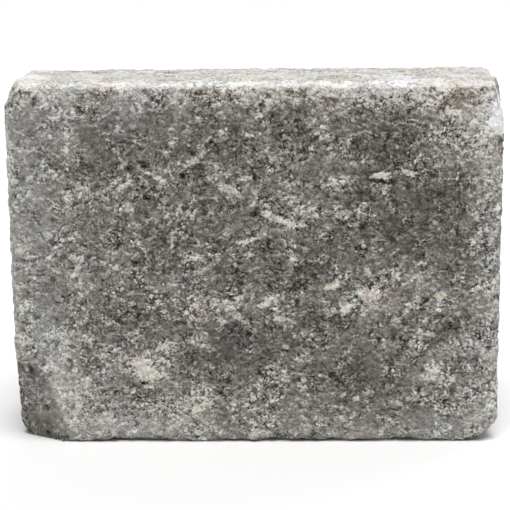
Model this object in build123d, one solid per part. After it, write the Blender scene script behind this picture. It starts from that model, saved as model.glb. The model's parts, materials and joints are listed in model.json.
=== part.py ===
from build123d import *
import os

# A tumbled concrete cobble paver, standing on one long edge.
#
# The paver is moulded as one piece of dry-cast concrete and then tumbled in a drum, which
# rounds its corners, wears its arrises and knocks shallow bites out of them. All of it is one solid.
#
# Frame: millimetres, +Z up. X runs along the paver's length and Y through its thickness, with the
# wearing face towards -Y and the bedding face towards +Y. The origin is on the floor, under the
# middle of the block.

# Size of the moulded block
LENGTH = 160.0
HEIGHT = 120.0
THICKNESS = 50.0

# Rounding by wear: the four corners of the outline, seen from the front, and the arrises of both faces
TOP_LEFT_RADIUS = 3.1
TOP_RIGHT_RADIUS = 3.1
BOTTOM_LEFT_RADIUS = 6.0
BOTTOM_RIGHT_RADIUS = 9.5
FRONT_ARRIS_RADIUS = 3.0
BACK_ARRIS_RADIUS = 1.6

# Outward directions of the six faces
LEFT, RIGHT = Vector(-1, 0, 0), Vector(1, 0, 0)
FRONT, BACK = Vector(0, -1, 0), Vector(0, 1, 0)
BOTTOM, TOP = Vector(0, 0, -1), Vector(0, 0, 1)
MIDDLE = Vector(0, 0, HEIGHT / 2)
HALF_SIZE = Vector(LENGTH / 2, THICKNESS / 2, HEIGHT / 2)

# Bites that tumbling took out of an arris: the two faces that meet there, then how far along the
# arris from its middle the bite sits, how long it is and how deep
ARRIS_BITES = [
    (FRONT, TOP, -68, 10, 0.7),
    (FRONT, TOP, -47, 15, 1.0),
    (FRONT, TOP, -11, 12, 0.9),
    (FRONT, TOP, 14, 9, 0.8),
    (FRONT, TOP, 26, 13, 0.9),
    (FRONT, TOP, 43, 22, 0.5),
    (FRONT, TOP, 64, 17, 1.6),
    (BACK, TOP, -63, 22, 1.2),
    (BACK, TOP, -14, 14, 1.1),
    (BACK, TOP, 20, 40, 0.6),
    (BACK, TOP, 57, 16, 1.1),
    (BACK, TOP, 75, 7, 1.1),
    (FRONT, BOTTOM, -38, 26, 0.9),
    (FRONT, BOTTOM, -12, 10, 0.7),
    (FRONT, BOTTOM, 6, 14, 0.9),
    (FRONT, BOTTOM, 27, 12, 0.8),
    (FRONT, BOTTOM, 46, 22, 1.1),
    (BACK, BOTTOM, -52, 14, 0.9),
    (BACK, BOTTOM, -26, 34, 1.0),
    (BACK, BOTTOM, 18, 16, 0.8),
    (BACK, BOTTOM, 55, 24, 1.3),
    (LEFT, FRONT, 41, 16, 1.4),
    (LEFT, FRONT, 8, 30, 0.7),
    (LEFT, FRONT, -20, 15, 0.9),
    (RIGHT, FRONT, 40, 30, 0.9),
    (RIGHT, FRONT, -8, 34, 0.8),
    (RIGHT, FRONT, -36, 14, 0.9),
    (LEFT, BACK, 24, 28, 1.1),
    (LEFT, BACK, -26, 18, 1.3),
    (RIGHT, BACK, 30, 20, 0.9),
    (RIGHT, BACK, -20, 32, 1.2),
    (LEFT, TOP, 6, 16, 0.8),
    (RIGHT, TOP, -4, 18, 1.0),
    (LEFT, BOTTOM, 8, 14, 0.8),
    (RIGHT, BOTTOM, -2, 20, 0.9),
]

# Bites out of a corner: the three faces that meet there, then the bite's length and depth
CORNER_BITES = [
    (RIGHT, FRONT, BOTTOM, 14, 0.6),
    (LEFT, BACK, TOP, 6, 0.4),
    (RIGHT, BACK, TOP, 9, 1.0),
    (LEFT, BACK, BOTTOM, 12, 1.0),
    (RIGHT, BACK, BOTTOM, 20, 1.8),
]

# Corners that broke off flat: the three faces that meet there, how far from the corner the break
# meets the arris along the length, the thickness and the height, and the height of the piece that
# came off. The lower left piece came off below a ledge, before the break had run out at the arris.
BROKEN_CORNERS = [
    (LEFT, FRONT, BOTTOM, 18.0, 10.5, 52.0, 28.0),
    (LEFT, FRONT, TOP, 7.0, 24.0, 8.5, 8.5),
    (RIGHT, FRONT, TOP, 4.0, 21.0, 16.0, 16.0),
]
CHIP_MARGIN = 1.0


def moulded_block():
    """The block with its outline's corners rounded, extruded through its thickness."""
    outline = Pos(0, HEIGHT / 2) * Rectangle(LENGTH, HEIGHT)
    corner_radii = {
        (-1, 1): TOP_LEFT_RADIUS,
        (1, 1): TOP_RIGHT_RADIUS,
        (-1, -1): BOTTOM_LEFT_RADIUS,
        (1, -1): BOTTOM_RIGHT_RADIUS,
    }
    for (side, level), radius in corner_radii.items():
        corner = (side * LENGTH / 2, (1 + level) * HEIGHT / 2)
        outline = fillet(outline.vertices().sort_by_distance(corner)[0], radius)
    return extrude(Plane.XZ * outline, amount=THICKNESS / 2, both=True)


def worn_arrises(block):
    """Rounds the arris all round the wearing face, and the one all round the bedding face."""
    block = fillet(block.faces().sort_by(Axis.Y)[0].edges(), FRONT_ARRIS_RADIUS)
    return fillet(block.faces().sort_by(Axis.Y)[-1].edges(), BACK_ARRIS_RADIUS)


def sharp_corner(faces):
    """The place where two or three faces of the moulded block would meet without any wear."""
    return sum((Vector(f.X * HALF_SIZE.X, f.Y * HALF_SIZE.Y, f.Z * HALF_SIZE.Z) for f in faces), MIDDLE)


def bite(block, faces, along, length, depth):
    """A ball that takes a shallow scoop out of the arris or corner where the faces meet.

    The scoop's depth is measured from the worn surface, along the direction that leans evenly
    between the faces. Its seam is turned away from the block.
    """
    outward = sum(faces, Vector()).normalized()
    start = sharp_corner(faces) + along + outward * length
    surface = block.find_intersection_points(Axis(start, -outward))[0][0]
    radius = (length**2 / 4 + depth**2) / (2 * depth)
    centre = surface + outward * (radius - depth)
    return Plane(origin=centre, x_dir=outward, z_dir=outward.cross(faces[0])) * Sphere(radius)


def chip(faces, distances, height):
    """The piece that came off a corner, along the plane that meets the arrises at those distances.

    It is the corner of a box that reaches a little beyond the block on its outer sides.
    """
    corner = sharp_corner(faces)
    on_arrises = [corner - face * distance for face, distance in zip(faces, distances)]
    break_plane = Plane(Face(Wire.make_polygon(on_arrises)))
    outer = corner + sum(faces, Vector()) * CHIP_MARGIN
    inner = corner - faces[0] * distances[0] - faces[1] * distances[1] - faces[2] * height
    size = outer - inner
    whole = Pos((outer + inner) / 2) * Box(abs(size.X), abs(size.Y), abs(size.Z))
    outer_side = Keep.BOTTOM if break_plane.to_local_coords(MIDDLE).Z > 0 else Keep.TOP
    return split(whole, bisect_by=break_plane, keep=outer_side)


def tumbled(block):
    """Takes every bite out of the arrises and corners, then the chips off the broken corners."""
    bites = []
    for first, second, offset, length, depth in ARRIS_BITES:
        run = first.cross(second)
        run = Vector(abs(run.X), abs(run.Y), abs(run.Z))
        bites.append(bite(block, (first, second), run * offset, length, depth))
    for *faces, length, depth in CORNER_BITES:
        bites.append(bite(block, faces, Vector(), length, depth))
    block = block - bites
    chips = [chip(row[:3], row[3:6], row[6]) for row in BROKEN_CORNERS]
    return block - chips


def main():
    paver = tumbled(worn_arrises(moulded_block()))
    os.makedirs("parts", exist_ok=True)
    paver.label = "cobble_paver"
    export_step(paver, "parts/cobble_paver.step")
    box = paver.bounding_box()
    print("cobble_paver size", box.size, "lowest", box.min)
    print("volume", round(paver.volume), "valid", paver.is_valid)


main()
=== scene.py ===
# %% [markdown]
# # Dressing a tumbled cobble paver
# The real paver is one block of vibrated concrete. It is pressed in a steel mould, cured, and then
# rolled in a drum with hundreds of others until its arrises, the sharp edges where two faces meet,
# are knocked off. The solid model already has the block's size, its rounded corners and its larger
# chips. This lesson gives it the skin of the real thing: thousands of sand grains, voids darkened
# with painted shade, pale bruises where other blocks struck it, and white lime along its edges.

# %% Load the frame
import json
import math
import bmesh
import bpy
import numpy as np
from mathutils import Matrix, Vector

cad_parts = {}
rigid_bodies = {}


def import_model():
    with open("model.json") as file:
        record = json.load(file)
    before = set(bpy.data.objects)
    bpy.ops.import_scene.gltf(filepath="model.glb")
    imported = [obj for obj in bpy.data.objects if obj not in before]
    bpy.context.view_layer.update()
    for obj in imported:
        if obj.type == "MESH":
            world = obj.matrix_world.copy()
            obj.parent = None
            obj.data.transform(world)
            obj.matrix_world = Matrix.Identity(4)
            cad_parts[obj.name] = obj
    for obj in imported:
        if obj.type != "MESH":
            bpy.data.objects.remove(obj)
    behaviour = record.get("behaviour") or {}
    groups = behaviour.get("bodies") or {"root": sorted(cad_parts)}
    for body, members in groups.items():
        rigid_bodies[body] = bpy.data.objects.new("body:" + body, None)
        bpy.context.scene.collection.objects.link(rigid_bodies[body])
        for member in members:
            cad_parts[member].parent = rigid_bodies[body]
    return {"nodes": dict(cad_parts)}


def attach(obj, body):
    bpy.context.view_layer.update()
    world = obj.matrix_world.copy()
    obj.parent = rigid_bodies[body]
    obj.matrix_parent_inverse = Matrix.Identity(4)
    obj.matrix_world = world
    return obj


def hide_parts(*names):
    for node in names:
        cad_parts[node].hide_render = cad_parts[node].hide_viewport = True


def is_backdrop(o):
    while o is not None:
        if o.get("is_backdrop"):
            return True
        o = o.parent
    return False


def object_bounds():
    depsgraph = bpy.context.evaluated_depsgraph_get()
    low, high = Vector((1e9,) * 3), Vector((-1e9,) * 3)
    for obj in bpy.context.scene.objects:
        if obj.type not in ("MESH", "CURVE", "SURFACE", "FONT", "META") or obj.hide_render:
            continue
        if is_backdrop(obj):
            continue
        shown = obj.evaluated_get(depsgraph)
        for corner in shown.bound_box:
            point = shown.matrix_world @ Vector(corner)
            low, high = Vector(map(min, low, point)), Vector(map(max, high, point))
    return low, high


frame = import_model()
CAD_LOW, CAD_HIGH = (Vector(corner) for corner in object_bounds())
CAD_SIZE = CAD_HIGH - CAD_LOW
MM = 0.001
solid = frame["nodes"]["cobble_paver"]
print("solid block, mm:", [round(side / MM, 2) for side in CAD_SIZE])

# %% [markdown]
# ## The camera
# A catalogue picture of a block is taken from about half a metre with a long lens, so that the
# upright edges stay nearly parallel. We could turn the camera by hand until the picture looks
# right, but the view is easier to keep when it is written as a photographer would say it: how far
# to the side, how far above the horizon, how far away, and how much the camera leans.

# %% Place the camera
SENSOR_WIDTH = 36.0
LENS = 104.43
CAMERA_SIDEWAYS = math.radians(1.34)
CAMERA_ELEVATION = math.radians(12.26)
CAMERA_LEAN = math.radians(-0.57)
CAMERA_DISTANCE = 505.1 * MM
CAMERA_TARGET = Vector((-0.49, 0.0, 58.49)) * MM
NEAREST_SEEN = 10 * MM

backwards = Vector((
    math.sin(CAMERA_SIDEWAYS) * math.cos(CAMERA_ELEVATION),
    -math.cos(CAMERA_SIDEWAYS) * math.cos(CAMERA_ELEVATION),
    math.sin(CAMERA_ELEVATION),
))
level_right = Vector((0.0, 0.0, 1.0)).cross(backwards).normalized()
level_up = backwards.cross(level_right)
right = level_right * math.cos(CAMERA_LEAN) + level_up * math.sin(CAMERA_LEAN)
up = backwards.cross(right)

bpy.ops.object.select_all(action="DESELECT")
bpy.ops.object.camera_add()
camera = bpy.context.object
camera.name = "catalogue_camera"
camera.data.sensor_width = SENSOR_WIDTH
camera.data.lens = LENS
camera.data.clip_start = NEAREST_SEEN
eye = CAMERA_TARGET + backwards * CAMERA_DISTANCE
camera.matrix_world = Matrix.Translation(eye) @ Matrix((right, up, backwards)).transposed().to_4x4()
bpy.context.scene.camera = camera
bpy.context.scene.view_settings.view_transform = "Standard"
print("camera eye, mm:", [round(value / MM, 1) for value in eye])

# %% [markdown]
# ## The floor and the light
# The block stands on white paper under a large soft lamp that hangs above it and a little in
# front. A soft lamp high up does two jobs here: the top of the block is brighter than its face, and
# every grain on the face throws a small shade below itself, which is what makes concrete look rough.
# A second lamp, weaker and wider, shines from behind. The paper is a plane with a plain diffuse colour.
# The camera sees it a little darker than the paper that lights the block, so that it doesn't clip to
# white and the block's soft shadow shows on it.

# %% Helpers for wiring nodes
def add_node(tree, kind, **settings):
    """A new node of that kind with its settings made."""
    node = tree.nodes.new(kind)
    for name, value in settings.items():
        setattr(node, name, value)
    return node


def plug(tree, source, socket):
    """Feeds a socket from another node's output, or sets it to a plain value."""
    if isinstance(source, bpy.types.NodeSocket):
        tree.links.new(source, socket)
    else:
        socket.default_value = source


def calc(tree, operation, *values, clamp=False):
    """One step of arithmetic on numbers or outputs."""
    node = add_node(tree, "ShaderNodeMath", operation=operation, use_clamp=clamp)
    for value, socket in zip(values, node.inputs):
        plug(tree, value, socket)
    return node.outputs[0]


def total(tree, *values):
    """The sum of several numbers or outputs."""
    result = values[0]
    for value in values[1:]:
        result = calc(tree, "ADD", result, value)
    return result


def remap(tree, value, low, high, new_low=0.0, new_high=1.0, curve="SMOOTHSTEP"):
    """Maps the range from low to high onto a new range, and holds the ends."""
    node = add_node(tree, "ShaderNodeMapRange", interpolation_type=curve)
    for source, socket in zip((value, low, high, new_low, new_high), node.inputs):
        plug(tree, source, socket)
    return node.outputs[0]


# %% Floor
FLOOR_SIZE = 6.0
PAPER_COLOUR = (0.75, 0.75, 0.75, 1.0)
PAPER_SEEN = (0.69, 0.69, 0.69, 1.0)


def seen_directly(tree):
    """1 where a camera, glossy or transmission ray arrives, and 0 where light bounces."""
    rays = add_node(tree, "ShaderNodeLightPath")
    kinds = ("Is Camera Ray", "Is Glossy Ray", "Is Transmission Ray")
    return calc(tree, "MINIMUM", total(tree, *(rays.outputs[kind] for kind in kinds)), 1.0)


# A Mix node has sockets for numbers, vectors and colours. These are the ones for colours.
MIX_AMOUNT = 0
MIX_COLOURS = (6, 7)
MIX_RESULT = 2


def blend(tree, amount, first, second, mode="MIX"):
    """Goes from one colour to another by an amount from 0 to 1."""
    node = add_node(tree, "ShaderNodeMix", data_type="RGBA", blend_type=mode)
    plug(tree, amount, node.inputs[MIX_AMOUNT])
    for colour, socket in zip((first, second), MIX_COLOURS):
        plug(tree, colour, node.inputs[socket])
    return node.outputs[MIX_RESULT]


bpy.ops.object.select_all(action="DESELECT")
bpy.ops.mesh.primitive_plane_add(size=FLOOR_SIZE)
floor = bpy.context.object
floor.name = "paper_floor"
paper = bpy.data.materials.new("white_paper")
paper.use_nodes = True
paper_tree = paper.node_tree
paper_shader = paper_tree.nodes["Principled BSDF"]
paper_shader.inputs["Roughness"].default_value = 1.0
paper_shader.inputs["Specular IOR Level"].default_value = 0.0
paper_colour = blend(paper_tree, seen_directly(paper_tree), PAPER_COLOUR, PAPER_SEEN)
plug(paper_tree, paper_colour, paper_shader.inputs["Base Color"])
floor.data.materials.append(paper)
floor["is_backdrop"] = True
print("paper floor, m:", FLOOR_SIZE)

# %% Light
SKY_LEVEL = 0.36
# Each lamp: the direction that it shines from, its strength, and how wide it looks.
LAMPS = {
    "overhead_lamp": (Vector((0.03, -0.33, 1.0)), 3.6, math.radians(35)),
    "back_lamp": (Vector((0.35, 0.8, 0.6)), 1.2, math.radians(60)),
}

world = bpy.data.worlds.new("studio")
bpy.context.scene.world = world
world.use_nodes = True
sky_tree = world.node_tree
sky = sky_tree.nodes["Background"]
sky.inputs["Color"].default_value = (1.0, 1.0, 1.0, 1.0)
sky_strength = remap(sky_tree, seen_directly(sky_tree), 0.0, 1.0, SKY_LEVEL, 1.0, "LINEAR")
plug(sky_tree, sky_strength, sky.inputs["Strength"])

for name, (comes_from, strength, softness) in LAMPS.items():
    bpy.ops.object.select_all(action="DESELECT")
    bpy.ops.object.light_add(type="SUN", location=comes_from)
    lamp = bpy.context.object
    lamp.name = name
    lamp.rotation_euler = comes_from.to_track_quat("Z", "Y").to_euler()
    lamp.data.energy = strength
    lamp.data.angle = softness
    print(name, "elevation, degrees:", round(math.degrees(math.asin(comes_from.normalized().z)), 1))

# %% [markdown]
# ## The block
# The skin needs far more points than the solid has: one for about every grain of sand. We start
# from a cube a little larger than the block, cut each set of parallel edges into slices with the
# Subdivide operator, and draw the net onto the solid with a Shrinkwrap modifier. The result is an
# even net of squares that follows the rounded corners, the worn arrises and the chips. A remesh
# would also give an even net, but it would blur the chips. The sharp edge of a chip can draw several
# points to one spot, so these are smoothed apart and drawn onto the solid once more.

# %% Cut a cube into slices
CUBE_MARGIN = 1.0 * MM
# For each axis, how many parts the first and the second round of cuts make of every edge.
SLICES = ((0, (12, 16)), (1, (6, 10)), (2, (12, 12)))
NEARLY_ALL = 0.9

bpy.ops.object.select_all(action="DESELECT")
bpy.ops.mesh.primitive_cube_add(
    size=1.0,
    location=(CAD_LOW + CAD_HIGH) / 2,
    scale=CAD_SIZE + Vector((CUBE_MARGIN, CUBE_MARGIN, CUBE_MARGIN)),
)
block = bpy.context.object
block.name = "tumbled_block"
block.data.name = "tumbled_block"
bpy.ops.object.transform_apply(location=True, rotation=True, scale=True)


def select_edges_along(axis):
    """Selects the edges of the mesh in edit mode that run along one axis."""
    net = bmesh.from_edit_mesh(block.data)
    for edge in net.edges:
        run = edge.verts[1].co - edge.verts[0].co
        edge.select_set(abs(run[axis]) > NEARLY_ALL * run.length)
    net.select_flush_mode()
    bmesh.update_edit_mesh(block.data)


bpy.ops.object.mode_set(mode="EDIT")
bpy.ops.mesh.select_mode(type="EDGE")
for axis, rounds in SLICES:
    for parts in rounds:
        bpy.ops.mesh.select_all(action="DESELECT")
        select_edges_along(axis)
        bpy.ops.mesh.subdivide(number_cuts=parts - 1)
bpy.ops.object.mode_set(mode="OBJECT")
print("slices made, faces:", len(block.data.polygons))

# %% Draw the net onto the solid
def draw_onto_solid():
    """Moves every point of the net to the nearest place on the solid."""
    wrap = block.modifiers.new("Wrap", "SHRINKWRAP")
    wrap.target = solid
    wrap.wrap_method = "NEAREST_SURFACEPOINT"
    bpy.ops.object.modifier_apply(modifier=wrap.name)


draw_onto_solid()
bpy.ops.object.shade_smooth()
print("wrapped block, mm:", [round(side / MM, 2) for side in block.dimensions])

# %% Spread out the points that a sharp edge drew to one spot
CROWDED = 0.25 * MM
SPREAD_SHARE = 0.5
SPREAD_ROUNDS = 8


def select_crowded_points():
    """Selects the points on edges that are much shorter than a slice, and counts these edges."""
    net = bmesh.from_edit_mesh(block.data)
    short = [edge for edge in net.edges if edge.calc_length() < CROWDED]
    for edge in short:
        edge.select_set(True)
    net.select_flush_mode()
    bmesh.update_edit_mesh(block.data)
    return len(short)


bpy.ops.object.mode_set(mode="EDIT")
bpy.ops.mesh.select_mode(type="VERT")
bpy.ops.mesh.select_all(action="DESELECT")
print("short edges:", select_crowded_points())
bpy.ops.mesh.select_more()
bpy.ops.mesh.vertices_smooth(factor=SPREAD_SHARE, repeat=SPREAD_ROUNDS)
bpy.ops.mesh.select_all(action="DESELECT")
bpy.ops.object.mode_set(mode="OBJECT")
draw_onto_solid()

# %% [markdown]
# ## What happened to the block
# Before the relief and the colour are made, the story of the block is painted on the points of the
# net, as attributes. Each attribute is one number for every point: how far it is from an arris, how
# far inside a bruise or a stone it lies, whether it is on the broken corner. Geometry nodes and the
# material can both read these, so the painted shade in a hollow lies exactly where it is deep.

# %% Points and places
place = np.empty(len(block.data.vertices) * 3)
block.data.vertices.foreach_get("co", place)
place = place.reshape(-1, 3) / MM
facing = np.empty(len(block.data.vertices) * 3)
block.data.vertices.foreach_get("normal", facing)
facing = facing.reshape(-1, 3)
BOX_LOW = np.array(CAD_LOW) / MM
BOX_HIGH = np.array(CAD_HIGH) / MM


def store(name, values):
    """Keeps one number for each point of the block."""
    layer = block.data.attributes.new(name, "FLOAT", "POINT")
    layer.data.foreach_set("value", values.astype(np.float32))
    print(name, "from", round(float(values.min()), 3), "to", round(float(values.max()), 3))


inset = np.sort(np.minimum(place - BOX_LOW, BOX_HIGH - place), axis=1)
arris_distance = inset[:, 1]
store("arris", arris_distance)

# %% [markdown]
# ## Marks with a place of their own
# Some marks catch the eye: pale bruises and scratches, stones that were ground open, and hollows that
# a stone fell out of. Noise could make marks like these, but not in their places, so on the wearing
# face each is an oval stroke with a place, a size and a tilt. The other sides get theirs by chance.

# %% Strokes on the wearing face
# Each row: across from the middle, height, length and width in mm, tilt in degrees, and strength.
BRUISES = [
    (-19, 95, 11, 2.2, 37, 0.6), (-26, 101, 5, 2, 35, 0.5), (-10, 104, 5, 2, 35, 0.6),
    (-2, 103, 4, 2, -20, 0.6), (-45, 87.5, 6.5, 1.7, 42, 0.95), (-41.5, 87, 6, 1.7, 40, 0.95),
    (-32, 90, 12.5, 1.7, -30, 0.8), (-8.5, 85.5, 9, 3.4, -28, 1.0), (-3, 89, 8, 2, 4, 0.8),
    (8, 75.5, 15, 2.6, -23, 1.35), (-2.5, 68.5, 7, 1.8, 12, 0.8), (-40, 80, 6, 5, 30, 0.5),
    (-25.5, 77.5, 4.5, 1.4, -10, 0.6), (-20, 76.5, 2.3, 2.1, 0, 0.9), (-26.5, 69, 4.5, 2.5, 80, 0.5),
    (-39, 64, 4, 1.3, 40, 0.6), (-21, 63.5, 8, 3, 0, 0.6), (-2, 64, 4, 2, 10, 0.6),
    (-45.5, 60, 3, 1.8, -20, 0.8), (12, 61.5, 9, 3.5, 80, 0.6), (16.5, 66, 3, 2, 0, 0.5),
    (40.5, 89.7, 8, 2.6, 8, 1.0), (49.5, 90.5, 6, 2.5, -15, 0.9), (30.5, 100.5, 4.5, 1.5, 80, 0.7),
    (13.5, 87.5, 6, 1.5, 20, 0.6), (11, 84, 5, 1.5, 75, 0.6), (26.5, 87.5, 5, 2.5, 0, 0.5),
    (64, 69.5, 2, 1.8, 0, 0.8), (38.5, 77, 4, 1.6, 5, 0.6), (29.5, 77.5, 11, 2.4, 0, 0.45),
    (46, 69, 1.7, 1.5, 0, 0.7), (71, 68.5, 5, 2.5, 40, 0.7), (71.5, 76.5, 4, 3, 0, 0.6),
    (26, 53, 5, 2.2, 10, 0.8), (-36.5, 25.5, 12, 8, -50, 0.95), (-8.5, 46.5, 5.5, 3.2, 0, 0.9),
    (5, 48.5, 10, 3, 27, 0.9), (8, 42.5, 7, 2, 0, 0.9), (9.5, 39, 3.5, 1.3, 85, 0.7),
    (10, 33, 2.5, 2.2, 0, 1.0), (-48, 41.5, 7, 3, -35, 0.5), (-29.5, 32.5, 5.5, 2.2, -15, 0.25),
    (-25, 42.5, 2.5, 2, 0, 0.6), (-22, 12.5, 9, 3, -15, 0.6), (-7, 14, 3.5, 2.5, 20, 0.7),
    (-25, 14, 3, 2, 0, 0.6), (59.5, 45.5, 2.8, 1.5, 0, 1.1), (29.5, 46.5, 5, 4, 0, 0.7),
    (33, 15, 3.6, 2.2, 0, 1.0), (57, 25.5, 4, 2.8, 0, 0.7), (64.5, 22, 4, 3.3, 0, 0.7),
    (30, 21.5, 2.8, 1.5, -35, 0.6), (13, 29, 2.5, 2, 0, 0.6), (37.5, 41.5, 2, 1.5, 0, 0.5),
    (-21.5, 48, 15, 5, 5, 0.2), (36.6, 58, 3.4, 2.6, 0, 0.9), (-59.8, 101, 11, 2.2, 88, 0.4),
    (-60.5, 83, 5, 1.2, 90, 0.4),
]
HOLLOWS = [
    (-36, 94.5, 4, 1.2, -5, 1.0), (-33, 92, 3, 1.2, -20, 0.9), (-34.5, 82.5, 3.3, 1.2, 0, 1.0),
    (-38.5, 61.5, 2.8, 2, 0, 0.9), (-23, 90, 3, 2, -30, 0.8), (-14, 75.5, 2.5, 1.1, 0, 0.8),
    (34, 79, 2.5, 1.2, 0, 0.8), (65.5, 71.5, 4.5, 1.3, 85, 0.9), (61.5, 43.5, 3, 1.2, 0, 0.8),
    (-37, 20.5, 3.5, 1.4, 10, 0.9), (-15, 24, 2.5, 1.2, 30, 0.8), (10, 31.5, 2, 1.2, 0, 1.0),
    (41, 87.6, 5, 1.1, 8, 0.45), (33.4, 66, 4, 2, 10, 0.9), (15.5, 97.5, 2.5, 1.5, 0, 0.8),
]
STONES = {
    "pink_stone": [
        (38, 49.8, 7.5, 4.4, 12, 1.0), (34.5, 51, 4, 3, 40, 0.8), (40.5, 89.9, 7, 2.4, 8, 0.5),
    ],
    "green_stone": [
        (60.3, 50, 4.8, 3.4, 5, 1.0), (25, 53.5, 5.5, 2.6, 15, 0.8), (49.5, 90.5, 6, 3, -15, 0.3),
    ],
    "rust": [
        (64.3, 102.3, 2.4, 2, 60, 0.9), (63.7, 98, 1.8, 1.6, 0, 0.8), (-28, 33, 2.4, 1.8, 0, 0.5),
    ],
}
# A point belongs to a side if its normal has this much of the side's direction.
FACING = 0.5
FACE = facing[:, 1] < -FACING
WELL_OUTSIDE = -2.0


def strokes(rows, across, height):
    """How far inside one of several oval strokes each point lies.

    That is the stroke's strength in its middle, nought at its rim, and less than nought outside.
    """
    depth = np.full(len(across), WELL_OUTSIDE)
    for x, z, length, width, tilt, strength in rows:
        turn = math.radians(tilt)
        along = (across - x) * math.cos(turn) + (height - z) * math.sin(turn)
        aside = (height - z) * math.cos(turn) - (across - x) * math.sin(turn)
        ring = np.hypot(along / (length / 2), aside / (width / 2))
        depth = np.maximum(depth, strength * (1 - ring))
    return depth


def on_face(rows, elsewhere):
    """Strokes on the wearing face, and another value elsewhere."""
    return np.where(FACE, strokes(rows, place[:, 0], place[:, 2]), elsewhere)


store("hollow", on_face(HOLLOWS, WELL_OUTSIDE))
for name, rows in STONES.items():
    store(name, on_face(rows, WELL_OUTSIDE))

# %% Bruises on the other sides, scattered by chance
BRUISES_ON_BACK = 30
BRUISES_ON_ENDS = 15
# The least and the most of each, in mm and degrees.
STROKE_LENGTHS = (3, 11)
STROKE_WIDTHS = (1.5, 3.5)
STROKE_TILTS = (-45, 45)
STROKE_STRENGTHS = (0.4, 1.1)
CHANCE_SEED = 5

END = np.abs(facing[:, 0]) > FACING
TOP_OR_BOTTOM = np.abs(facing[:, 2]) > FACING
chance = np.random.default_rng(CHANCE_SEED)


def scattered(count, axis):
    """Strokes of random place, size and tilt on a side that runs along one axis and upwards."""
    return [
        (
            chance.uniform(BOX_LOW[axis], BOX_HIGH[axis]),
            chance.uniform(BOX_LOW[2], BOX_HIGH[2]),
            chance.uniform(*STROKE_LENGTHS),
            chance.uniform(*STROKE_WIDTHS),
            chance.uniform(*STROKE_TILTS),
            chance.uniform(*STROKE_STRENGTHS),
        )
        for _ in range(count)
    ]


back_bruise = strokes(scattered(BRUISES_ON_BACK, 0), place[:, 0], place[:, 2])
end_bruise = strokes(scattered(BRUISES_ON_ENDS, 1), place[:, 1], place[:, 2])
bruise = on_face(BRUISES, np.where(END, end_bruise, back_bruise))
store("bruise", np.where(TOP_OR_BOTTOM, WELL_OUTSIDE, bruise))

# %% [markdown]
# ## Soft patches
# Between the marks, the wearing face is paler, darker or smoother in patches, some as small as a
# fingertip and some as wide as a hand. Painting them with a brush would work too, but a list can be
# read and changed. Each patch is soft and oval, with a place, a size and an amount, and where several
# meet they add up.

# %% Soft zones, and skin that the mould left smooth or the drum rubbed
# Each row: across from the middle, height, half width and half height in mm, and amount.
DARK_ZONES = [
    (48, 73, 18, 11, -0.78), (40, 99, 8, 7, -0.6), (11, 103, 15, 7, -0.55), (-36, 92, 17, 15, -0.45),
    (20, 51, 5, 6, -0.5), (-8, 31, 9, 6, -0.8), (34, 28, 15, 9, -0.38), (-8, 56, 6, 4, -0.5),
    (-26, 68, 10, 8, -0.3), (14, 62, 10, 6, -0.3), (-45, 47, 8, 6, -0.2), (-46, 104, 9, 6, -0.2),
    (-66, 100, 4, 9, -0.8), (50, 16, 9, 6, -0.5), (32, 18, 8, 5, -0.4),
]
PALE_ZONES = [
    (-71, 82, 8, 22, 0.32), (-72, 104, 7, 9, 0.42), (-70, 66, 6, 8, 0.2), (73, 68, 4, 14, 0.25),
    (-61, 103, 3.5, 7, 0.7), (-57, 63.5, 4, 5, 0.4), (-64, 22, 8, 8, 0.8), (-58, 16, 9, 4, 0.85),
    (-35, 26, 5, 5, 1.05), (-68, 37, 6, 6, 0.75), (-60, 48, 10, 10, 0.3), (-6, 85.5, 4, 3, 0.4),
    (11, 77, 6, 4, 0.5), (36, 50.5, 6, 5, 1.2), (58, 49, 4, 5, 0.5), (60, 22, 7, 6, 0.7),
    (29.5, 101, 2.5, 6, 0.5), (-45, 85, 4, 4, 0.4), (-16, 48, 24, 4, 0.35), (-20, 12, 28, 5, 0.35),
    (64, 7, 9, 4, 0.4), (66, 109, 8, 6, 0.7), (64, 99, 5, 5, 0.35), (74, 97, 4, 8, 0.6),
    (76, 60, 3, 34, 0.5), (70, 20, 6, 10, 0.3), (0, 116, 70, 2.4, 0.6), (73.5, 107, 4, 4.5, 1.3),
    (-36, 35, 12, 3, 0.2), (79, 30, 2.5, 16, 0.6), (-57, 5, 8, 3, 0.55), (-36, 6, 12, 3.5, 0.95),
    (41, 114.5, 10, 3.5, 0.95),
]
SMOOTH_ZONES = [
    (-72, 84, 5, 16, 1.0), (-70, 108, 6, 6, 0.6), (-46, 104, 12, 7, 0.6), (-68, 37, 6, 9, 0.9),
    (-66, 58, 6, 12, 0.5), (60, 7, 9, 3, 1.0), (75, 60, 4, 18, 0.5), (38, 32, 9, 8, 0.4),
    (-8, 30, 8, 6, 0.4), (50, 72, 10, 8, 0.35),
]
RUBBED_ZONES = [
    (-46, 6, 22, 4, 1.0), (40, 4, 30, 3, 0.8), (-58, 17, 9, 5, 1.0), (-66, 23, 4, 5, 0.6),
    (73.5, 107, 4.5, 5, 0.9),
]
# How much of its direction a point's normal has where a side begins, and where it has fully begun.
FRONT_TURN = (0.0, 0.5)
TOP_TURN = (0.2, 0.7)
# How far in front of the block's middle the strip beside the wearing face starts and is full, in mm.
FRONT_STRIP = (10, 18)


def rising(values, low, high):
    """0 up to low, 1 from high on, and a straight slope between."""
    return np.clip((values - low) / (high - low), 0, 1)


ON_FRONT = rising(-facing[:, 1], *FRONT_TURN)
ON_TOP = rising(facing[:, 2], *TOP_TURN)
NEAR_FRONT = rising(-place[:, 1], *FRONT_STRIP)


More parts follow.
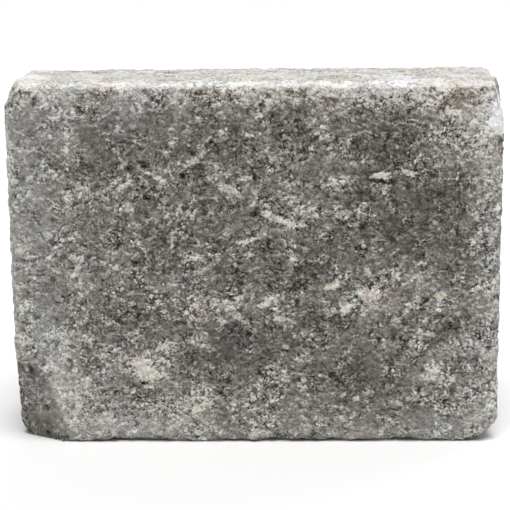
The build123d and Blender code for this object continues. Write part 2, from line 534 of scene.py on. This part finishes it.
def soft_zones(rows, up_axis, side):
    """Adds up soft oval patches on one side, placed across the block and along another axis."""
    amount_here = np.zeros(len(place))
    for x, along, half_width, half_height, amount in rows:
        aside = (place[:, 0] - x) / half_width
        above = (place[:, up_axis] - along) / half_height
        amount_here += amount * np.exp(-(aside ** 2 + above ** 2) / 2)
    return amount_here * side


store("zone", soft_zones(DARK_ZONES + PALE_ZONES, 2, ON_FRONT))
store("smooth", soft_zones(SMOOTH_ZONES, 2, ON_FRONT))
store("rubbed", soft_zones(SMOOTH_ZONES + RUBBED_ZONES, 2, ON_FRONT))

# %% [markdown]
# ## Lime, cement wash with painted top light, and soil
# The white along the arrises is lime that came out of the concrete. The top is paler all over, partly
# as if it had been washed with thin cement and partly as painted light from the lamp above, a little
# soil sticks just below its arris, and the arrises are paler, partly worn and partly painted light.
# The large break at the lower left is bare, so it is kept free of lime, wear and that painted light.
# All of this could be painted as one colour. As attributes of their own, each of them can have its own
# tone, tint or ragged rim in the material.

# %% Lime, cement wash with painted top light, soil and the broken corner
# Each row: across from the middle, height, half width and half height in mm, and amount. On the top,
# a place through the thickness stands in for the height.
LIME_PATCHES = [
    (78.6, 108, 3, 6, 1.1), (78.5, 90, 1.6, 7, 0.3), (-45, 4, 18, 1.8, 0.35), (61, 6, 5, 2, 0.35),
    (-79, 85, 1.5, 20, 0.3), (79, 70, 1.5, 14, 0.2), (-62, 13, 8, 2, 0.2), (-73, 8, 1.5, 1.5, 1.0),
]
TOP_LIME = [
    (-74, -8, 4, 9, 1.3), (25, -23, 48, 1.6, 0.52), (-40, -23, 34, 1.4, 0.45), (45, -12, 5, 7, 1.0),
    (10, -8, 6, 6, 0.5), (-20, -10, 5, 6, 0.4), (66, -10, 6, 5, 0.6),
]
SOIL_PATCHES = [
    (-47, 117, 5, 1.6, 0.8), (-15, 117, 3, 1.2, 1.3), (-7.3, 116.8, 0.8, 0.8, 2.4),
    (14, 117, 5, 1.2, 0.9), (25.5, 114, 1.6, 0.7, 1.0), (64, 115, 4.5, 2.2, 0.9),
    (70, 115, 2, 1.6, 0.5), (-74, 117, 4, 1.4, 0.6), (78.6, 99.5, 1.8, 2.3, 1.0),
]
ARRIS_REACH = 2.0
LIME_ON_ARRIS = 0.35
# The large break: its reach along three arrises, its ledge's height and its skin's thickness, in mm.
BREAK_ALONG_ARRISES = np.array([18.0, 10.5, 52.0])
BREAK_LEDGE = 28.0
BREAK_SKIN = 0.4
# A point is on the break if its normal has this much of the break's direction.
BREAK_FACING = 0.85
# How far below the top its skin starts to fade and has gone, in mm.
TOP_SKIN = (1.5, 2.7)
# The same as TOP_TURN, for the wash with its painted top light and for what counts as upward.
WASH_AND_TOP_LIGHT_TURN = (0.15, 0.55)
UPWARD_TURN = (0.6, 0.95)
SOIL_OVER_LIME = 0.6
SOIL_OVER_WASH_AND_TOP_LIGHT = 0.7

break_slope = 1 / BREAK_ALONG_ARRISES
break_steepness = np.linalg.norm(break_slope)
above_break = ((place - BOX_LOW) @ break_slope - 1) / break_steepness
on_break = np.abs(above_break) < BREAK_SKIN
on_break &= np.abs(facing @ break_slope) > BREAK_FACING * break_steepness
on_break &= place[:, 2] < BREAK_LEDGE
soil = soft_zones(SOIL_PATCHES, 2, ON_FRONT)
on_top_skin = 1 - rising(BOX_HIGH[2] - place[:, 2], *TOP_SKIN)
lime = LIME_ON_ARRIS * np.exp(-arris_distance / ARRIS_REACH)
lime = np.maximum(lime, soft_zones(LIME_PATCHES, 2, NEAR_FRONT))
lime = np.maximum(lime, soft_zones(TOP_LIME, 1, ON_TOP * on_top_skin))
# The top's paler skin is partly a cement wash and partly painted light from the lamp above.
wash_and_top_light = rising(facing[:, 2], *WASH_AND_TOP_LIGHT_TURN) * on_top_skin
upward = rising(facing[:, 2], *UPWARD_TURN)
store("lime", np.where(on_break, 0.0, lime - SOIL_OVER_LIME * soil))
store("wash_and_top_light", wash_and_top_light * np.clip(1 - SOIL_OVER_WASH_AND_TOP_LIGHT * soil, 0, 1))
store("upward", upward)
store("soil", soil)
store("broken", on_break.astype(float))

# %% Worn arrises, partly painted light
# Each side of the wearing face: how much paler its arris is, and how far that reaches inwards, in mm.
# The paleness is partly wear and partly painted light, set for each side by how the lamps fall on its
# arris.
WEAR_AND_ARRIS_LIGHT = {"left": (0.32, 3.0), "right": (0.16, 3.0), "bottom": (0.19, 5.0), "top": (0.55, 4.2)}
WEAR_ELSEWHERE = 0.2

to_side = {
    "left": place[:, 0] - BOX_LOW[0],
    "right": BOX_HIGH[0] - place[:, 0],
    "bottom": place[:, 2] - BOX_LOW[2],
    "top": BOX_HIGH[2] - place[:, 2],
}
wear_and_arris_light = np.zeros(len(place))
for side, (amount, reach) in WEAR_AND_ARRIS_LIGHT.items():
    wear_and_arris_light = np.maximum(wear_and_arris_light, amount * np.exp(-to_side[side] / reach))
wear_and_arris_light = np.maximum(wear_and_arris_light * NEAR_FRONT, WEAR_ELSEWHERE * np.exp(-arris_distance / ARRIS_REACH))
store("wear_and_arris_light", np.where(on_break, 0.0, wear_and_arris_light * (1 - upward)))

# %% [markdown]
# ## Relief
# Geometry nodes move every point in or out along its normal. A displacement map could do the same,
# but nodes can read the painted attributes and add up several kinds of roughness at their real sizes:
# the slow waviness of a moulded face, lumps of coarse stone, single grains, voids that trapped air
# left, and crumbled arrises. The whole skin also settles inwards a little, and no point may leave the
# solid's box, so the block keeps its size.

# %% Noise and cells, at sizes in millimetres
def cloud(tree, where, size_mm, detail=2.0, roughness=0.5):
    """Soft noise between 0 and 1 with blobs of about that size."""
    node = add_node(tree, "ShaderNodeTexNoise", noise_dimensions="3D")
    plug(tree, where, node.inputs["Vector"])
    node.inputs["Scale"].default_value = 1.0 / (size_mm * MM)
    node.inputs["Detail"].default_value = detail
    node.inputs["Roughness"].default_value = roughness
    return node.outputs[0]


def cells(tree, where, size_mm):
    """For packed cells of about that size, the distance from a cell's middle and its random colour."""
    node = add_node(tree, "ShaderNodeTexVoronoi", voronoi_dimensions="3D", feature="F1")
    plug(tree, where, node.inputs["Vector"])
    node.inputs["Scale"].default_value = 1.0 / (size_mm * MM)
    return node.outputs["Distance"], node.outputs["Color"]


def red_of(tree, colour):
    """The first channel of a colour, as a random number for a cell."""
    node = add_node(tree, "ShaderNodeSeparateXYZ")
    plug(tree, colour, node.inputs[0])
    return node.outputs[0]


def attribute(tree, name):
    """A painted attribute, in geometry nodes."""
    node = add_node(tree, "GeometryNodeInputNamedAttribute", data_type="FLOAT")
    node.inputs["Name"].default_value = name
    return node.outputs["Attribute"]


# %% The relief, in millimetres
relief = bpy.data.node_groups.new("concrete_relief", "GeometryNodeTree")
relief.interface.new_socket("Geometry", in_out="INPUT", socket_type="NodeSocketGeometry")
relief.interface.new_socket("Geometry", in_out="OUTPUT", socket_type="NodeSocketGeometry")
net_in = add_node(relief, "NodeGroupInput").outputs[0]
where = add_node(relief, "GeometryNodeInputPosition").outputs[0]


def around_zero(tree, value, height):
    """Moves noise from between 0 and 1 to a height above and below nought."""
    return calc(tree, "MULTIPLY", calc(tree, "SUBTRACT", value, 0.5), height)


def dome(tree, distance, radius):
    """A ball's cap on each cell: 1 in the middle and 0 at that distance."""
    ratio = calc(tree, "DIVIDE", distance, radius)
    fall = calc(tree, "MULTIPLY", ratio, ratio)
    return calc(tree, "SQRT", calc(tree, "SUBTRACT", 1.0, fall, clamp=True))


# Each kind of roughness: about how wide or how far apart it is, and how high or deep.
WAVE_WIDTH, WAVE_HEIGHT = 34, 0.8
LUMP_WIDTH, LUMP_HEIGHT = 7, 1.1
RAISED_GRAIN_WIDTH, RAISED_GRAIN_HEIGHT = 2.9, 0.75
RAISED_SAND_WIDTH, RAISED_SAND_HEIGHT = 1.7, 0.6
VOID_SPACING, VOID_DEPTH = 5.0, 0.9
CRUMB_WIDTH, CRUMB_DEPTH = 4.5, 1.2
HOLLOW_DEPTH = 1.0
OPEN_PATCH_WIDTH = 12
SETTLE = 0.35

waves = around_zero(relief, cloud(relief, where, WAVE_WIDTH), WAVE_HEIGHT)
lumps = around_zero(relief, cloud(relief, where, LUMP_WIDTH, 3, 0.6), LUMP_HEIGHT)
openness = remap(relief, cloud(relief, where, OPEN_PATCH_WIDTH, 2), 0.3, 0.65, 0.5, 1.1)
raised_distance, raised_colour = cells(relief, where, RAISED_GRAIN_WIDTH)
raised = calc(relief, "MULTIPLY", dome(relief, raised_distance, 0.8), red_of(relief, raised_colour))
raised = calc(relief, "MULTIPLY", raised, openness)
raised_grains = calc(relief, "MULTIPLY", raised, RAISED_GRAIN_HEIGHT)
raised_sand = around_zero(relief, cloud(relief, where, RAISED_SAND_WIDTH), RAISED_SAND_HEIGHT)

void_distance, void_colour = cells(relief, where, VOID_SPACING)
void_chance = remap(relief, red_of(relief, void_colour), 0.75, 1.0)
void_shape = remap(relief, void_distance, 0.08, 0.3, 1.0, 0.0)
voids = calc(relief, "MULTIPLY", void_shape, void_chance)
hollows = remap(relief, attribute(relief, "hollow"), 0.0, 0.6)

near_arris = remap(relief, attribute(relief, "arris"), 0.5, 6.0, 1.0, 0.0)
crumbled = remap(relief, cloud(relief, where, CRUMB_WIDTH, 3), 0.5, 0.75)
crumbs = calc(relief, "MULTIPLY", crumbled, near_arris)

surface = total(relief, lumps, raised_grains, raised_sand)
height = total(
    relief, surface, waves, -SETTLE,
    calc(relief, "MULTIPLY", voids, -VOID_DEPTH),
    calc(relief, "MULTIPLY", hollows, -HOLLOW_DEPTH),
    calc(relief, "MULTIPLY", crumbs, -CRUMB_DEPTH),
)
print("relief nodes:", len(relief.nodes))

# %% Move the points and keep them in the box
push = add_node(relief, "ShaderNodeVectorMath", operation="SCALE")
plug(relief, add_node(relief, "GeometryNodeInputNormal").outputs[0], push.inputs[0])
plug(relief, calc(relief, "MULTIPLY", height, MM), push.inputs["Scale"])
moved = add_node(relief, "ShaderNodeVectorMath", operation="ADD")
plug(relief, where, moved.inputs[0])
plug(relief, push.outputs[0], moved.inputs[1])
above = add_node(relief, "ShaderNodeVectorMath", operation="MAXIMUM")
plug(relief, moved.outputs[0], above.inputs[0])
above.inputs[1].default_value = CAD_LOW
below = add_node(relief, "ShaderNodeVectorMath", operation="MINIMUM")
plug(relief, above.outputs[0], below.inputs[0])
below.inputs[1].default_value = CAD_HIGH

kept = net_in
# The pits' attribute says where the material puts painted shade into voids and hollows.
for name, value in (
    ("pit_shade", calc(relief, "MAXIMUM", voids, hollows)),
    ("height", surface),
):
    keeper = add_node(relief, "GeometryNodeStoreNamedAttribute", data_type="FLOAT", domain="POINT")
    plug(relief, kept, keeper.inputs["Geometry"])
    keeper.inputs["Name"].default_value = name
    plug(relief, value, keeper.inputs["Value"])
    kept = keeper.outputs[0]
set_place = add_node(relief, "GeometryNodeSetPosition")
plug(relief, kept, set_place.inputs["Geometry"])
plug(relief, below.outputs[0], set_place.inputs["Position"])
net_out = add_node(relief, "NodeGroupOutput")
plug(relief, set_place.outputs[0], net_out.inputs[0])

rough = block.modifiers.new("Relief", "NODES")
rough.node_group = relief
bpy.context.view_layer.objects.active = block
bpy.ops.object.modifier_apply(modifier=rough.name)
print("block with relief, mm:", [round(side / MM, 2) for side in block.dimensions])

# %% [markdown]
# ## The concrete
# Concrete is not one grey. Each sand grain has its own tone, while the darker paste between grains
# and the nearly black open gaps are painted shade. A picture of concrete could be laid on each side,
# but it would break off at the arrises. Instead, the material packs cells of several sizes on Object
# coordinates, so that grains have the same size on every side and run on round the arrises, and adds
# the painted story.

# %% Start the material
CONCRETE_ROUGHNESS = 0.92
CONCRETE_SHINE = 0.25

concrete = bpy.data.materials.new("tumbled_concrete_skin")
concrete.use_nodes = True
tree = concrete.node_tree
shader = tree.nodes["Principled BSDF"]
shader.inputs["Roughness"].default_value = CONCRETE_ROUGHNESS
shader.inputs["Specular IOR Level"].default_value = CONCRETE_SHINE
spot = add_node(tree, "ShaderNodeTexCoord").outputs["Object"]


def painted(name):
    """A painted attribute, in the material."""
    return add_node(tree, "ShaderNodeAttribute", attribute_name=name).outputs["Fac"]


def tell(step):
    """Prints a step that is done and how large the material has grown."""
    print(step, "wired, material nodes so far:", len(tree.nodes))


tell("plain concrete")

# %% Sand grains, and painted shade in the gaps between them
def weigh(*pairs):
    """Adds up outputs, each times its weight."""
    return total(tree, *(calc(tree, "MULTIPLY", value, weight) for value, weight in pairs))


def flattened(where, ratio):
    """Coordinates in which patterns come out that much wider than they are high."""
    squash = add_node(tree, "ShaderNodeMapping", vector_type="TEXTURE")
    plug(tree, where, squash.inputs["Vector"])
    squash.inputs["Scale"].default_value = (ratio, ratio, 1.0)
    return squash.outputs[0]


def shaken(where, size_mm, reach_mm):
    """Coordinates pushed about by noise, so that cells lose their straight sides."""
    noise = add_node(tree, "ShaderNodeTexNoise", noise_dimensions="3D")
    plug(tree, where, noise.inputs["Vector"])
    noise.inputs["Scale"].default_value = 1.0 / (size_mm * MM)
    push_about = add_node(tree, "ShaderNodeVectorMath", operation="MULTIPLY_ADD")
    plug(tree, noise.outputs["Color"], push_about.inputs[0])
    push_about.inputs[1].default_value = (reach_mm * MM,) * 3
    plug(tree, where, push_about.inputs[2])
    return push_about.outputs[0]


GRAIN_SIZE = 1.8
SAND_SIZE = 0.95
SAND_NOISE_SIZE = 0.7
GRIT_SIZE = 3.6
SHAKE_SIZE, SHAKE_REACH = 1.6, 0.9
GRAIN_FLATNESS = 1.02
SAND_NOISE_FLATNESS = 1.03

loose = shaken(flattened(spot, GRAIN_FLATNESS), SHAKE_SIZE, SHAKE_REACH)
grain_distance, grain_colour = cells(tree, loose, GRAIN_SIZE)
sand_distance, sand_colour = cells(tree, loose, SAND_SIZE)
grain_tone = around_zero(tree, red_of(tree, grain_colour), 1.0)
sand_tone = around_zero(tree, red_of(tree, sand_colour), 1.0)
grain_gap_shade = remap(tree, grain_distance, 0.52, 0.85)
sand_gap_shade = remap(tree, sand_distance, 0.5, 0.85)
grit = around_zero(tree, cloud(tree, spot, GRIT_SIZE, 2, 0.9), 1.0)
sandy = flattened(spot, SAND_NOISE_FLATNESS)
sand_noise = around_zero(tree, cloud(tree, sandy, SAND_NOISE_SIZE, 1, 0.9), 1.0)
tell("sand grains")

# %% [markdown]
# ## Marks between the grains
# Seen closely, the paste between the grains has dark crevices and pale threads, specks where sand fell
# out, and short scratches from the drum. The dark of the crevices and the specks is painted shade, as
# it falls below a grain and into a small hole. They are too many to place, so each kind is noise or
# cells
# with only a narrow band kept: the middle line of a noise is a thread, a few cells are specks, and
# noise that is stretched along a slant is a scratch.

# %% Crevices of painted shade, and threads
THREAD_FLATNESS = 1.15
THREADED = (0.44, 0.58)


def thread(size_mm, width, patch_size_mm):
    """Thin wandering lines that show only in some patches."""
    wander = cloud(tree, flattened(spot, THREAD_FLATNESS), size_mm, 2, 0.6)
    middle_line = calc(tree, "ABSOLUTE", calc(tree, "SUBTRACT", wander, 0.5))
    line = remap(tree, middle_line, 0.0, width, 1.0, 0.0)
    patch = remap(tree, cloud(tree, spot, patch_size_mm, 2), *THREADED)
    return calc(tree, "MULTIPLY", line, patch)


shaded_crevice = thread(2.4, 0.03, 9)
pale_thread = thread(4.2, 0.035, 11)
tell("crevices and threads")

# %% Pinholes of painted shade, and pale flecks, in clusters
CLUSTER_SIZE = 6
CELL_EDGE = 0.08
CLUSTER_EDGE = 0.1


def sprinkled(where, size_mm, rarity, cluster_level):
    """Small round spots in a few cells, where slow noise lets them gather."""
    distance, colour = cells(tree, where, size_mm)
    here = remap(tree, red_of(tree, colour), rarity, rarity + CELL_EDGE)
    gathering = cloud(tree, spot, CLUSTER_SIZE, 2, 0.7)
    cluster = remap(tree, gathering, cluster_level, cluster_level + CLUSTER_EDGE)
    shape = remap(tree, distance, 0.3, 0.5, 1.0, 0.0)
    return calc(tree, "MULTIPLY", shape, calc(tree, "MULTIPLY", here, cluster))


pinhole_shade = sprinkled(spot, 0.8, 0.72, 0.52)
fleck = sprinkled(loose, 1.4, 0.78, 0.46)
tell("specks and flecks")

# %% Scratches
def scratches(tilt, length_mm, width_mm, low, high):
    """Short pale strokes that lean by the given angle, from noise stretched along them."""
    turned = add_node(tree, "ShaderNodeMapping", vector_type="TEXTURE")
    plug(tree, spot, turned.inputs["Vector"])
    turned.inputs["Rotation"].default_value = (0.0, math.radians(tilt), 0.0)
    turned.inputs["Scale"].default_value = (length_mm / width_mm, 1.0, 1.0)
    return remap(tree, cloud(tree, turned.outputs[0], width_mm, 2, 0.6), low, high)


scratched = total(
    tree,
    scratches(32, 7, 1.9, 0.62, 0.70),
    scratches(-36, 6, 1.7, 0.62, 0.70),
    scratches(4, 8, 1.8, 0.63, 0.71),
)
scratched = calc(tree, "MINIMUM", scratched, 1.0)
tell("scratches")

# %% Pale stones
PEBBLE_SIZE = 3.2

pebble_distance, pebble_colour = cells(tree, loose, PEBBLE_SIZE)
pebble_here = remap(tree, red_of(tree, pebble_colour), 0.62, 0.72)
pebble = calc(tree, "MULTIPLY", remap(tree, pebble_distance, 0.24, 0.34, 1.0, 0.0), pebble_here)
pebble_rim = calc(tree, "MULTIPLY", remap(tree, pebble_distance, 0.34, 0.46, 1.0, 0.0), pebble_here)
tell("pale stones")

# %% Patches
BROAD_SIZE = 30
MIDDLE_SIZE = 8

broad = around_zero(tree, cloud(tree, spot, BROAD_SIZE, 2, 0.8), 1.0)
middle = around_zero(tree, cloud(tree, spot, MIDDLE_SIZE, 2, 0.8), 1.0)
scuff = remap(tree, weigh((middle, 1.0), (grit, 0.5), (sand_noise, 0.5)), 0.05, 0.24)
bruised = remap(tree, weigh((painted("bruise"), 1.0), (sand_noise, 1.2), (grit, 1.0)), -0.1, 0.35)
lime_edge = weigh((painted("lime"), 1.0), (middle, 0.9), (grit, 1.1), (sand_noise, 0.7))
limed = remap(tree, lime_edge, 0.3, 0.7)
tell("patches")

# %% Coloured stones
def stone(name):
    """How far a point lies inside a painted stone, with a rim that sand grains break up."""
    return remap(tree, weigh((painted(name), 1.0), (sand_noise, 0.6), (grit, 0.7)), 0.0, 0.25)


pink_stone = stone("pink_stone")
green_stone = stone("green_stone")
rust = stone("rust")
stones = calc(tree, "MAXIMUM", pink_stone, green_stone)
tell("coloured stones")

# %% [markdown]
# ## From marks to colour
# All marks are added up to one number, the tone, and a colour ramp turns that into a grey. Mixing in a
# colour for each mark would also work, but on one ramp the dark greys stay warm and the pale ones
# neutral, as they are on the block. Smooth, rubbed and bruised skin shows its grains less, so there
# the speckle is weaker. The tints and the white lime come last.

# %% Tone
TONE_BASE = 0.499
CONTRAST_BASE = 0.54
CONTRAST_LEAST = 0.2

# The grain gaps, the crevices and the pinholes darken the tone as painted shade.
speckle = weigh(
    (grit, 0.66), (sand_noise, 0.88), (grain_tone, 0.16), (sand_tone, 0.18),
    (grain_gap_shade, -0.22), (sand_gap_shade, -0.25), (shaded_crevice, -0.40), (pale_thread, 0.30),
    (pebble, 0.36), (pebble_rim, -0.16), (pinhole_shade, -0.5), (fleck, 0.42),
)
open_skin = remap(tree, weigh((middle, 1.0), (painted("zone"), 0.08), (grit, 0.25)), -0.12, 0.16)
contrast = total(tree, CONTRAST_BASE, weigh(
    (open_skin, 0.88), (bruised, -0.25), (scratched, -0.2), (stones, -0.35),
    (painted("rubbed"), -0.5), (painted("wash_and_top_light"), -0.35), (painted("broken"), -0.35),
    (painted("wear_and_arris_light"), -0.3),
))
contrast = calc(tree, "MAXIMUM", contrast, CONTRAST_LEAST)
tone = total(tree, TONE_BASE, weigh(
    (open_skin, 0.06),
    (scratched, 0.24),
    (calc(tree, "MULTIPLY", speckle, contrast), 1.0),
    (painted("height"), 0.12),
    (broad, 0.35),
    (middle, 0.25),
    (scuff, 0.06),
    (painted("zone"), 0.20),
    (bruised, 0.36),
    (stones, 0.40),
    (rust, 0.12),
    # The paler top: partly a cement wash and partly painted light.
    (painted("wash_and_top_light"), 0.34),
    # Painted shade in the voids and hollows.
    (painted("pit_shade"), -0.42),
    # Paler arrises, partly wear and partly painted light.
    (painted("wear_and_arris_light"), 1.0),
    (painted("soil"), -0.32),
    (painted("broken"), -0.10),
))
tell("tone")

# %% Tone to colour
# Each stop of the ramp: a tone and its colour.
TONES = [
    (0.0, (0.013, 0.0107, 0.0086)),
    (0.25, (0.077, 0.0697, 0.0597)),
    (0.45, (0.166, 0.1537, 0.1365)),
    (0.65, (0.290, 0.2715, 0.2470)),
    (1.0, (0.600, 0.583, 0.550)),
]
# The lime has a paler copy on the face, which takes less light, and a darker one on the top, which
# takes more: painted light.
LIME_ON_FACE_PAINTED_PALER = (0.84, 0.84, 0.845, 1.0)
LIME_ON_TOP_PAINTED_DARKER = (0.62, 0.615, 0.60, 1.0)
CREAM_TINT = (1.02, 1.0, 0.95, 1.0)
SOIL_TINT = (1.045, 0.985, 0.925, 1.0)
COOL_TINT = (0.98, 1.0, 1.02, 1.0)
WARM_TINT = (1.02, 1.0, 0.98, 1.0)
MAUVE_TINT = (1.01, 0.99, 1.01, 1.0)
OLIVE_TINT = (0.99, 1.01, 0.99, 1.0)
SMOOTH_TINT = (0.955, 1.0, 1.03, 1.0)
PINK_TINT = (1.06, 0.985, 0.96, 1.0)
GREEN_TINT = (1.01, 1.01, 0.90, 1.0)
RUST_TINT = (1.10, 0.985, 0.86, 1.0)
WARM_DRIFT_SIZE = 13
GREEN_DRIFT_SIZE = 11
GREEN_DRIFT_FLATNESS = 1.5
LIME_COVER = 0.85

ramp = add_node(tree, "ShaderNodeValToRGB")
stops = ramp.color_ramp.elements
while len(stops) < len(TONES):
    stops.new(0.5)
for stop, (level, colour) in zip(stops, TONES):
    stop.position = level
    stop.color = (*colour, 1.0)
plug(tree, tone, ramp.inputs[0])
warm_drift = remap(tree, cloud(tree, spot, WARM_DRIFT_SIZE, 2, 0.6), 0.3, 0.7)
green_where = flattened(spot, GREEN_DRIFT_FLATNESS)
green_drift = remap(tree, cloud(tree, green_where, GREEN_DRIFT_SIZE, 2, 0.6), 0.3, 0.7)
tint = blend(tree, warm_drift, COOL_TINT, WARM_TINT)
tint = blend(tree, 1.0, tint, blend(tree, green_drift, MAUVE_TINT, OLIVE_TINT), "MULTIPLY")
tint = blend(tree, bruised, tint, CREAM_TINT)
tint = blend(tree, calc(tree, "MINIMUM", painted("soil"), 1.0), tint, SOIL_TINT)
tint = blend(tree, calc(tree, "MINIMUM", painted("smooth"), 1.0), tint, SMOOTH_TINT)
tint = blend(tree, pink_stone, tint, PINK_TINT)
tint = blend(tree, green_stone, tint, GREEN_TINT)
tint = blend(tree, rust, tint, RUST_TINT)
skin = blend(tree, 1.0, ramp.outputs[0], tint, "MULTIPLY")
# Painted light: the lime is paler on the face and darker on the top.
lime_colour_by_light = blend(tree, painted("upward"), LIME_ON_FACE_PAINTED_PALER, LIME_ON_TOP_PAINTED_DARKER)
skin = blend(tree, calc(tree, "MULTIPLY", limed, LIME_COVER), skin, lime_colour_by_light)
plug(tree, skin, shader.inputs["Base Color"])
tell("colour")

# %% [markdown]
# ## Fine bump
# The net has a point about every 0.8 mm, so the finest grains can't be part of it. More points could
# carry them, but the block would grow too heavy to use. A bump shades them instead, from the same
# cells and noise that give them their colour, so that the painted shade in a gap lies where it is low.

# %% Fine bump
BUMP_REACH = 0.7 * MM

bump_height = weigh(
    (grain_distance, -1.2), (sand_distance, -0.5), (grit, 0.7), (sand_noise, 0.3),
    (shaded_crevice, -0.6), (pale_thread, 0.3),
)
bump = add_node(tree, "ShaderNodeBump")
bump.inputs["Strength"].default_value = 1.0
bump.inputs["Distance"].default_value = BUMP_REACH
plug(tree, bump_height, bump.inputs["Height"])
plug(tree, bump.outputs[0], shader.inputs["Normal"])

block.data.materials.clear()
block.data.materials.append(concrete)
tell("bump")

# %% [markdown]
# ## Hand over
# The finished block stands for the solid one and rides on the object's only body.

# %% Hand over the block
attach(block, "root")
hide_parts("cobble_paver")
